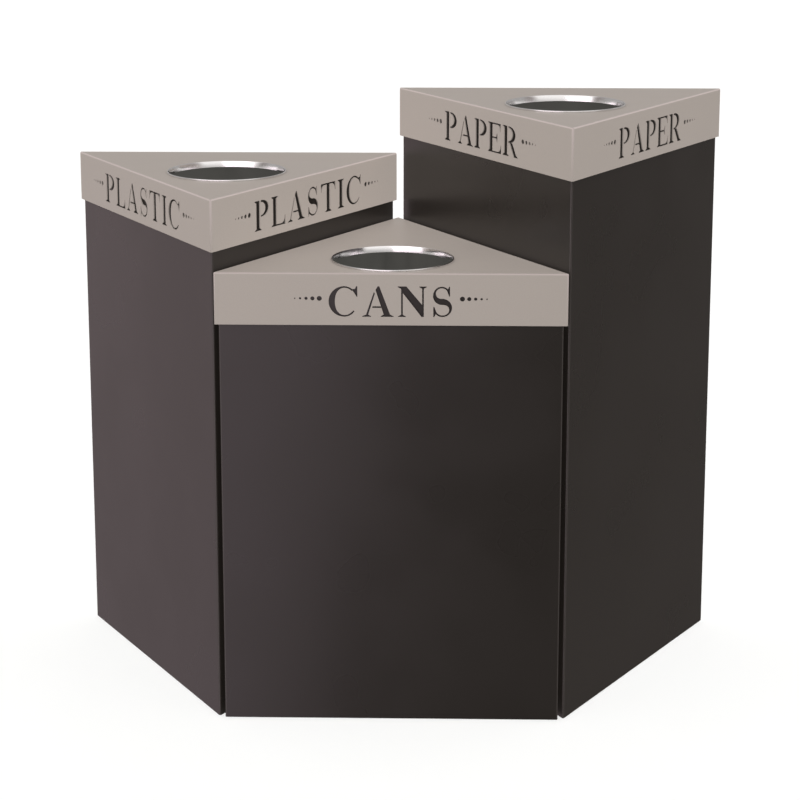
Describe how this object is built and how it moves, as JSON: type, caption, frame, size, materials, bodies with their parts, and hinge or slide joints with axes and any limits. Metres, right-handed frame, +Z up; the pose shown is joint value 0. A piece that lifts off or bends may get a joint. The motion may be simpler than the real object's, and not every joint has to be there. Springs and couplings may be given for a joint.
{
  "type": "recycling bin station",
  "caption": "Free-standing triangular sheet-steel recycling bins at stepped heights, grouped as a half hexagon, with lift-off lids, round openings and inner liners.",
  "frame": {"origin": "on the floor, under the middle of the station's box", "axes": "+X to the right along the long rear line of the station, +Y to the rear, +Z up"},
  "size_m": [1.0144, 0.4404, 0.8886],
  "materials": {
    "lid_paint": "warm light grey powder coat, satin, fine orange peel",
    "body_paint": "black powder coat, semi-gloss, fine orange peel",
    "trim_chrome": "bright polished",
    "liner_plastic": "dark grey moulded, matt",
    "rubber": "black moulded, matt"
  },
  "bodies": {
    "cans_bin": {"cans_shell": "body_paint", "cans_bottom_pan": "body_paint", "cans_foot_1": "rubber", "cans_foot_2": "rubber", "cans_foot_3": "rubber", "cans_gusset_1": "body_paint", "cans_gusset_2": "body_paint", "cans_gusset_3": "body_paint", "cans_lid_stop_1": "rubber", "cans_lid_stop_2": "rubber", "cans_lid_stop_3": "rubber"},
    "cans_lid": {"cans_lid": "lid_paint", "cans_trim_ring": "trim_chrome"},
    "cans_liner": {"cans_liner": "liner_plastic"},
    "plastic_bin": {"plastic_shell": "body_paint", "plastic_bottom_pan": "body_paint", "plastic_foot_1": "rubber", "plastic_foot_2": "rubber", "plastic_foot_3": "rubber", "plastic_gusset_1": "body_paint", "plastic_gusset_2": "body_paint", "plastic_gusset_3": "body_paint", "plastic_lid_stop_1": "rubber", "plastic_lid_stop_2": "rubber", "plastic_lid_stop_3": "rubber"},
    "plastic_lid": {"plastic_lid": "lid_paint", "plastic_trim_ring": "trim_chrome"},
    "plastic_liner": {"plastic_liner": "liner_plastic"},
    "paper_bin": {"paper_shell": "body_paint", "paper_bottom_pan": "body_paint", "paper_foot_1": "rubber", "paper_foot_2": "rubber", "paper_foot_3": "rubber", "paper_gusset_1": "body_paint", "paper_gusset_2": "body_paint", "paper_gusset_3": "body_paint", "paper_lid_stop_1": "rubber", "paper_lid_stop_2": "rubber", "paper_lid_stop_3": "rubber"},
    "paper_lid": {"paper_lid": "lid_paint", "paper_trim_ring": "trim_chrome"},
    "paper_liner": {"paper_liner": "liner_plastic"}
  },
  "joints": [
    {"name": "cans_lid_lift", "type": "slide", "parent": "cans_bin", "child": "cans_lid", "axis": [0, 0, 1], "range_m": [0, 0.12]},
    {"name": "cans_liner_lift", "type": "slide", "parent": "cans_bin", "child": "cans_liner", "axis": [0, 0, 1], "range_m": [0, 0.06]},
    {"name": "plastic_bin_slide", "type": "slide", "parent": "cans_bin", "child": "plastic_bin", "axis": [-0.866, 0.5, 0], "range_m": [0, 0.12]},
    {"name": "plastic_lid_lift", "type": "slide", "parent": "plastic_bin", "child": "plastic_lid", "axis": [0, 0, 1], "range_m": [0, 0.12]},
    {"name": "plastic_liner_lift", "type": "slide", "parent": "plastic_bin", "child": "plastic_liner", "axis": [0, 0, 1], "range_m": [0, 0.06]},
    {"name": "paper_bin_slide", "type": "slide", "parent": "cans_bin", "child": "paper_bin", "axis": [0.866, 0.5, 0], "range_m": [0, 0.12]},
    {"name": "paper_lid_lift", "type": "slide", "parent": "paper_bin", "child": "paper_lid", "axis": [0, 0, 1], "range_m": [0, 0.12]},
    {"name": "paper_liner_lift", "type": "slide", "parent": "paper_bin", "child": "paper_liner", "axis": [0, 0, 1], "range_m": [0, 0.06]}
  ],
  "couplings": [
    {"joint": "cans_liner_lift", "follows": "cans_lid_lift", "ratio": 0.5},
    {"joint": "plastic_liner_lift", "follows": "plastic_lid_lift", "ratio": 0.5},
    {"joint": "paper_liner_lift", "follows": "paper_lid_lift", "ratio": 0.5}
  ]
}
